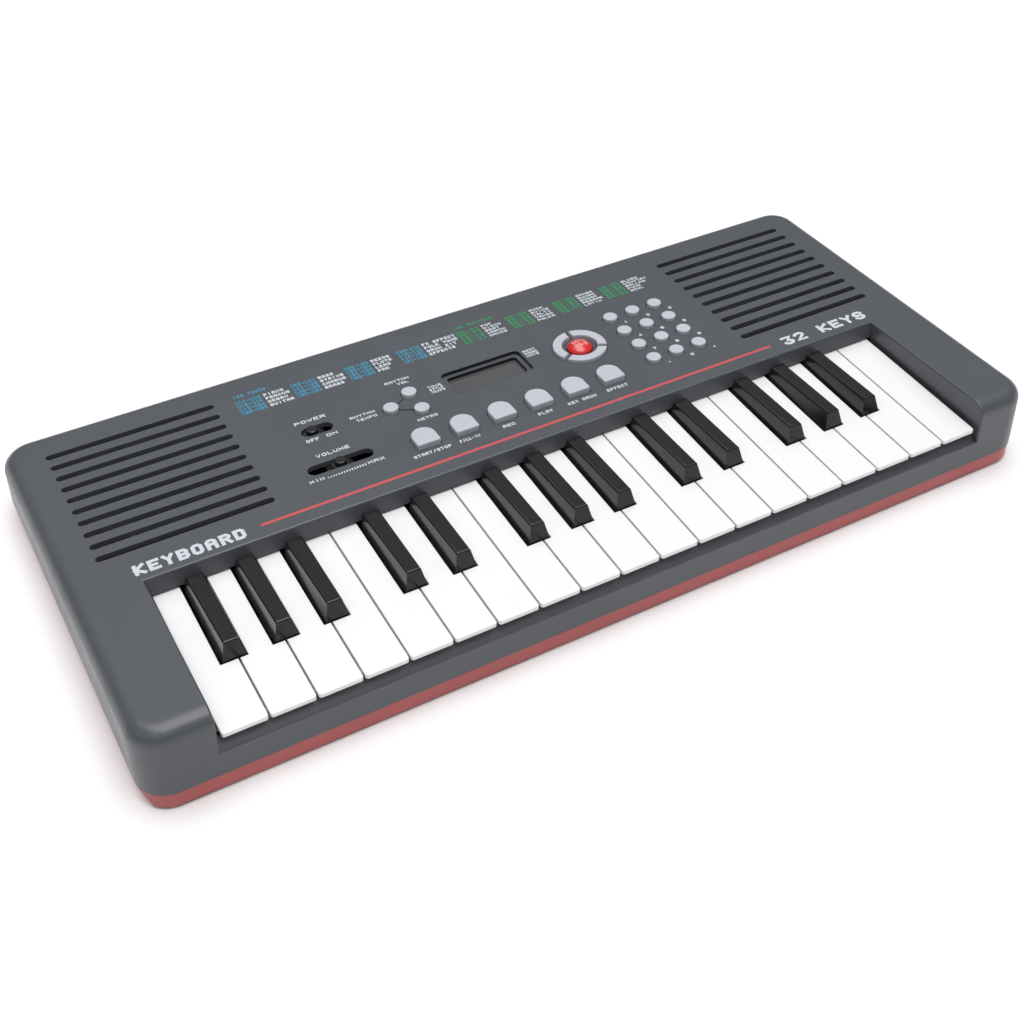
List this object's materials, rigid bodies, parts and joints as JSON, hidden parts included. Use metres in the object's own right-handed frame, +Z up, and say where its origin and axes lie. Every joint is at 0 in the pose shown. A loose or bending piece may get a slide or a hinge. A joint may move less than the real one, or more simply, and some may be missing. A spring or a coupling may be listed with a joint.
{
  "type": "toy electronic keyboard",
  "caption": "Toy electronic keyboard with mini keys, a grey plastic case on a red base, slotted speaker grilles and a panel of push buttons and sliding switches.",
  "frame": {"origin": "centre of the footprint, on the floor under the feet", "axes": "+X to the player's right along the keyboard, +Y away from the player, +Z up"},
  "size_m": [0.446, 0.211, 0.0436],
  "materials": {
    "case_grey": "fine matte texture",
    "base_red": "satin, smooth",
    "key_white": "glossy",
    "key_black": "glossy",
    "button_silver": "matte silicone",
    "knob_dark": "satin",
    "demo_red": "glossy",
    "window_plastic": "clear, glossy, dark tint",
    "lcd_module": "glass over a frame",
    "circuit_board": "lacquered board",
    "rubber_grey": "matte",
    "rubber_black": "matte",
    "speaker_black": "matte",
    "screw_steel": "plated",
    "contact_steel": "plated spring steel"
  },
  "bodies": {
    "case": {"upper_case": "case_grey", "lower_case": "base_red", "rubber_feet": "rubber_black", "case_screws": "screw_steel", "battery_contacts": "contact_steel", "display_window": "window_plastic", "lcd_module": "lcd_module", "main_board": "circuit_board", "key_contact_board": "circuit_board", "contact_rubber": "rubber_grey", "speakers": "speaker_black"},
    "battery_door": {"battery_door": "base_red"},
    "power_knob": {"power_knob": "knob_dark"},
    "volume_knob": {"volume_knob": "knob_dark"},
    "demo_button": {"demo_button": "demo_red"},
    "ring_button_left": {"ring_button_left": "button_silver"},
    "ring_button_front": {"ring_button_front": "button_silver"},
    "ring_button_rear": {"ring_button_rear": "button_silver"},
    "start_button": {"start_button": "button_silver"},
    "fill_in_button": {"fill_in_button": "button_silver"},
    "record_button": {"record_button": "button_silver"},
    "play_button": {"play_button": "button_silver"},
    "drum_button": {"drum_button": "button_silver"},
    "effect_button": {"effect_button": "button_silver"},
    "rhythm_button": {"rhythm_button": "button_silver"},
    "tempo_button": {"tempo_button": "button_silver"},
    "metronome_button": {"metronome_button": "button_silver"},
    "number_keypad": {"number_keypad": "button_silver"},
    "white_key_f3": {"white_key_f3": "key_white"},
    "white_key_g3": {"white_key_g3": "key_white"},
    "white_key_a3": {"white_key_a3": "key_white"},
    "white_key_b3": {"white_key_b3": "key_white"},
    "white_key_c4": {"white_key_c4": "key_white"},
    "white_key_d4": {"white_key_d4": "key_white"},
    "white_key_e4": {"white_key_e4": "key_white"},
    "white_key_f4": {"white_key_f4": "key_white"},
    "white_key_g4": {"white_key_g4": "key_white"},
    "white_key_a4": {"white_key_a4": "key_white"},
    "white_key_b4": {"white_key_b4": "key_white"},
    "white_key_c5": {"white_key_c5": "key_white"},
    "white_key_d5": {"white_key_d5": "key_white"},
    "white_key_e5": {"white_key_e5": "key_white"},
    "white_key_f5": {"white_key_f5": "key_white"},
    "white_key_g5": {"white_key_g5": "key_white"},
    "white_key_a5": {"white_key_a5": "key_white"},
    "white_key_b5": {"white_key_b5": "key_white"},
    "white_key_c6": {"white_key_c6": "key_white"},
    "black_key_f3": {"black_key_f3": "key_black"},
    "black_key_g3": {"black_key_g3": "key_black"},
    "black_key_a3": {"black_key_a3": "key_black"},
    "black_key_c4": {"black_key_c4": "key_black"},
    "black_key_d4": {"black_key_d4": "key_black"},
    "black_key_f4": {"black_key_f4": "key_black"},
    "black_key_g4": {"black_key_g4": "key_black"},
    "black_key_a4": {"black_key_a4": "key_black"},
    "black_key_c5": {"black_key_c5": "key_black"},
    "black_key_d5": {"black_key_d5": "key_black"},
    "black_key_f5": {"black_key_f5": "key_black"},
    "black_key_g5": {"black_key_g5": "key_black"},
    "black_key_a5": {"black_key_a5": "key_black"}
  },
  "joints": [
    {"name": "battery_door_slide", "type": "slide", "parent": "case", "child": "battery_door", "axis": [0, 1, 0], "range_m": [0, 0.07]},
    {"name": "power_slide", "type": "slide", "parent": "case", "child": "power_knob", "axis": [1, 0, 0], "range_m": [0, 0.005]},
    {"name": "volume_slide", "type": "slide", "parent": "case", "child": "volume_knob", "axis": [1, 0, 0], "range_m": [-0.011, 0.011]},
    {"name": "demo_press", "type": "slide", "parent": "case", "child": "demo_button", "axis": [0, -0.0511, -0.9987], "range_m": [0, 0.0012], "stiffness_N_per_m": 500, "springref_m": -0.0006},
    {"name": "ring_left_press", "type": "slide", "parent": "case", "child": "ring_button_left", "axis": [0, -0.0511, -0.9987], "range_m": [0, 0.0012], "stiffness_N_per_m": 500, "springref_m": -0.0006},
    {"name": "ring_front_press", "type": "slide", "parent": "case", "child": "ring_button_front", "axis": [0, -0.0511, -0.9987], "range_m": [0, 0.0012], "stiffness_N_per_m": 500, "springref_m": -0.0006},
    {"name": "ring_rear_press", "type": "slide", "parent": "case", "child": "ring_button_rear", "axis": [0, -0.0511, -0.9987], "range_m": [0, 0.0012], "stiffness_N_per_m": 500, "springref_m": -0.0006},
    {"name": "start_press", "type": "slide", "parent": "case", "child": "start_button", "axis": [0, -0.0511, -0.9987], "range_m": [0, 0.0012], "stiffness_N_per_m": 500, "springref_m": -0.0006},
    {"name": "fill_in_press", "type": "slide", "parent": "case", "child": "fill_in_button", "axis": [0, -0.0511, -0.9987], "range_m": [0, 0.0012], "stiffness_N_per_m": 500, "springref_m": -0.0006},
    {"name": "record_press", "type": "slide", "parent": "case", "child": "record_button", "axis": [0, -0.0511, -0.9987], "range_m": [0, 0.0012], "stiffness_N_per_m": 500, "springref_m": -0.0006},
    {"name": "play_press", "type": "slide", "parent": "case", "child": "play_button", "axis": [0, -0.0511, -0.9987], "range_m": [0, 0.0012], "stiffness_N_per_m": 500, "springref_m": -0.0006},
    {"name": "drum_press", "type": "slide", "parent": "case", "child": "drum_button", "axis": [0, -0.0511, -0.9987], "range_m": [0, 0.0012], "stiffness_N_per_m": 500, "springref_m": -0.0006},
    {"name": "effect_press", "type": "slide", "parent": "case", "child": "effect_button", "axis": [0, -0.0511, -0.9987], "range_m": [0, 0.0012], "stiffness_N_per_m": 500, "springref_m": -0.0006},
    {"name": "rhythm_press", "type": "slide", "parent": "case", "child": "rhythm_button", "axis": [0, -0.0511, -0.9987], "range_m": [0, 0.0012], "stiffness_N_per_m": 500, "springref_m": -0.0006},
    {"name": "tempo_press", "type": "slide", "parent": "case", "child": "tempo_button", "axis": [0, -0.0511, -0.9987], "range_m": [0, 0.0012], "stiffness_N_per_m": 500, "springref_m": -0.0006},
    {"name": "metronome_press", "type": "slide", "parent": "case", "child": "metronome_button", "axis": [0, -0.0511, -0.9987], "range_m": [0, 0.0012], "stiffness_N_per_m": 500, "springref_m": -0.0006},
    {"name": "keypad_press", "type": "slide", "parent": "case", "child": "number_keypad", "axis": [0, -0.0511, -0.9987], "range_m": [0, 0.0012], "stiffness_N_per_m": 2000, "springref_m": -0.0006},
    {"name": "white_key_f3_hinge", "type": "hinge", "parent": "case", "child": "white_key_f3", "pos_m": [-0.18375, -0.002, 0.024], "axis": [1, 0, 0], "range_deg": [0, 2.1], "stiffness_Nm_per_rad": 0.8, "springref_deg": -2.29},
    {"name": "white_key_g3_hinge", "type": "hinge", "parent": "case", "child": "white_key_g3", "pos_m": [-0.1608, -0.002, 0.024], "axis": [1, 0, 0], "range_deg": [0, 2.1], "stiffness_Nm_per_rad": 0.8, "springref_deg": -2.29},
    {"name": "white_key_a3_hinge", "type": "hinge", "parent": "case", "child": "white_key_a3", "pos_m": [-0.1385, -0.002, 0.024], "axis": [1, 0, 0], "range_deg": [0, 2.1], "stiffness_Nm_per_rad": 0.8, "springref_deg": -2.29},
    {"name": "white_key_b3_hinge", "type": "hinge", "parent": "case", "child": "white_key_b3", "pos_m": [-0.1159, -0.002, 0.024], "axis": [1, 0, 0], "range_deg": [0, 2.1], "stiffness_Nm_per_rad": 0.8, "springref_deg": -2.29},
    {"name": "white_key_c4_hinge", "type": "hinge", "parent": "case", "child": "white_key_c4", "pos_m": [-0.10345, -0.002, 0.024], "axis": [1, 0, 0], "range_deg": [0, 2.1], "stiffness_Nm_per_rad": 0.8, "springref_deg": -2.29},
    {"name": "white_key_d4_hinge", "type": "hinge", "parent": "case", "child": "white_key_d4", "pos_m": [-0.07965, -0.002, 0.024], "axis": [1, 0, 0], "range_deg": [0, 2.1], "stiffness_Nm_per_rad": 0.8, "springref_deg": -2.29},
    {"name": "white_key_e4_hinge", "type": "hinge", "parent": "case", "child": "white_key_e4", "pos_m": [-0.0562, -0.002, 0.024], "axis": [1, 0, 0], "range_deg": [0, 2.1], "stiffness_Nm_per_rad": 0.8, "springref_deg": -2.29},
    {"name": "white_key_f4_hinge", "type": "hinge", "parent": "case", "child": "white_key_f4", "pos_m": [-0.04375, -0.002, 0.024], "axis": [1, 0, 0], "range_deg": [0, 2.1], "stiffness_Nm_per_rad": 0.8, "springref_deg": -2.29},
    {"name": "white_key_g4_hinge", "type": "hinge", "parent": "case", "child": "white_key_g4", "pos_m": [-0.0208, -0.002, 0.024], "axis": [1, 0, 0], "range_deg": [0, 2.1], "stiffness_Nm_per_rad": 0.8, "springref_deg": -2.29},
    {"name": "white_key_a4_hinge", "type": "hinge", "parent": "case", "child": "white_key_a4", "pos_m": [0.0015, -0.002, 0.024], "axis": [1, 0, 0], "range_deg": [0, 2.1], "stiffness_Nm_per_rad": 0.8, "springref_deg": -2.29},
    {"name": "white_key_b4_hinge", "type": "hinge", "parent": "case", "child": "white_key_b4", "pos_m": [0.0241, -0.002, 0.024], "axis": [1, 0, 0], "range_deg": [0, 2.1], "stiffness_Nm_per_rad": 0.8, "springref_deg": -2.29},
    {"name": "white_key_c5_hinge", "type": "hinge", "parent": "case", "child": "white_key_c5", "pos_m": [0.03655, -0.002, 0.024], "axis": [1, 0, 0], "range_deg": [0, 2.1], "stiffness_Nm_per_rad": 0.8, "springref_deg": -2.29},
    {"name": "white_key_d5_hinge", "type": "hinge", "parent": "case", "child": "white_key_d5", "pos_m": [0.06035, -0.002, 0.024], "axis": [1, 0, 0], "range_deg": [0, 2.1], "stiffness_Nm_per_rad": 0.8, "springref_deg": -2.29},
    {"name": "white_key_e5_hinge", "type": "hinge", "parent": "case", "child": "white_key_e5", "pos_m": [0.0838, -0.002, 0.024], "axis": [1, 0, 0], "range_deg": [0, 2.1], "stiffness_Nm_per_rad": 0.8, "springref_deg": -2.29},
    {"name": "white_key_f5_hinge", "type": "hinge", "parent": "case", "child": "white_key_f5", "pos_m": [0.09625, -0.002, 0.024], "axis": [1, 0, 0], "range_deg": [0, 2.1], "stiffness_Nm_per_rad": 0.8, "springref_deg": -2.29},
    {"name": "white_key_g5_hinge", "type": "hinge", "parent": "case", "child": "white_key_g5", "pos_m": [0.1192, -0.002, 0.024], "axis": [1, 0, 0], "range_deg": [0, 2.1], "stiffness_Nm_per_rad": 0.8, "springref_deg": -2.29},
    {"name": "white_key_a5_hinge", "type": "hinge", "parent": "case", "child": "white_key_a5", "pos_m": [0.1415, -0.002, 0.024], "axis": [1, 0, 0], "range_deg": [0, 2.1], "stiffness_Nm_per_rad": 0.8, "springref_deg": -2.29},
    {"name": "white_key_b5_hinge", "type": "hinge", "parent": "case", "child": "white_key_b5", "pos_m": [0.1641, -0.002, 0.024], "axis": [1, 0, 0], "range_deg": [0, 2.1], "stiffness_Nm_per_rad": 0.8, "springref_deg": -2.29},
    {"name": "white_key_c6_hinge", "type": "hinge", "parent": "case", "child": "white_key_c6", "pos_m": [0.18, -0.002, 0.024], "axis": [1, 0, 0], "range_deg": [0, 2.1], "stiffness_Nm_per_rad": 0.8, "springref_deg": -2.29},
    {"name": "black_key_f3_hinge", "type": "hinge", "parent": "case", "child": "black_key_f3", "pos_m": [-0.1715, -0.002, 0.024], "axis": [1, 0, 0], "range_deg": [0, 2.5], "stiffness_Nm_per_rad": 0.8, "springref_deg": -2.29},
    {"name": "black_key_g3_hinge", "type": "hinge", "parent": "case", "child": "black_key_g3", "pos_m": [-0.1492, -0.002, 0.024], "axis": [1, 0, 0], "range_deg": [0, 2.5], "stiffness_Nm_per_rad": 0.8, "springref_deg": -2.29},
    {"name": "black_key_a3_hinge", "type": "hinge", "parent": "case", "child": "black_key_a3", "pos_m": [-0.1269, -0.002, 0.024], "axis": [1, 0, 0], "range_deg": [0, 2.5], "stiffness_Nm_per_rad": 0.8, "springref_deg": -2.29},
    {"name": "black_key_c4_hinge", "type": "hinge", "parent": "case", "child": "black_key_c4", "pos_m": [-0.0909, -0.002, 0.024], "axis": [1, 0, 0], "range_deg": [0, 2.5], "stiffness_Nm_per_rad": 0.8, "springref_deg": -2.29},
    {"name": "black_key_d4_hinge", "type": "hinge", "parent": "case", "child": "black_key_d4", "pos_m": [-0.0675, -0.002, 0.024], "axis": [1, 0, 0], "range_deg": [0, 2.5], "stiffness_Nm_per_rad": 0.8, "springref_deg": -2.29},
    {"name": "black_key_f4_hinge", "type": "hinge", "parent": "case", "child": "black_key_f4", "pos_m": [-0.0315, -0.002, 0.024], "axis": [1, 0, 0], "range_deg": [0, 2.5], "stiffness_Nm_per_rad": 0.8, "springref_deg": -2.29},
    {"name": "black_key_g4_hinge", "type": "hinge", "parent": "case", "child": "black_key_g4", "pos_m": [-0.0092, -0.002, 0.024], "axis": [1, 0, 0], "range_deg": [0, 2.5], "stiffness_Nm_per_rad": 0.8, "springref_deg": -2.29},
    {"name": "black_key_a4_hinge", "type": "hinge", "parent": "case", "child": "black_key_a4", "pos_m": [0.0131, -0.002, 0.024], "axis": [1, 0, 0], "range_deg": [0, 2.5], "stiffness_Nm_per_rad": 0.8, "springref_deg": -2.29},
    {"name": "black_key_c5_hinge", "type": "hinge", "parent": "case", "child": "black_key_c5", "pos_m": [0.0491, -0.002, 0.024], "axis": [1, 0, 0], "range_deg": [0, 2.5], "stiffness_Nm_per_rad": 0.8, "springref_deg": -2.29},
    {"name": "black_key_d5_hinge", "type": "hinge", "parent": "case", "child": "black_key_d5", "pos_m": [0.0725, -0.002, 0.024], "axis": [1, 0, 0], "range_deg": [0, 2.5], "stiffness_Nm_per_rad": 0.8, "springref_deg": -2.29},
    {"name": "black_key_f5_hinge", "type": "hinge", "parent": "case", "child": "black_key_f5", "pos_m": [0.1085, -0.002, 0.024], "axis": [1, 0, 0], "range_deg": [0, 2.5], "stiffness_Nm_per_rad": 0.8, "springref_deg": -2.29},
    {"name": "black_key_g5_hinge", "type": "hinge", "parent": "case", "child": "black_key_g5", "pos_m": [0.1308, -0.002, 0.024], "axis": [1, 0, 0], "range_deg": [0, 2.5], "stiffness_Nm_per_rad": 0.8, "springref_deg": -2.29},
    {"name": "black_key_a5_hinge", "type": "hinge", "parent": "case", "child": "black_key_a5", "pos_m": [0.1531, -0.002, 0.024], "axis": [1, 0, 0], "range_deg": [0, 2.5], "stiffness_Nm_per_rad": 0.8, "springref_deg": -2.29}
  ]
}
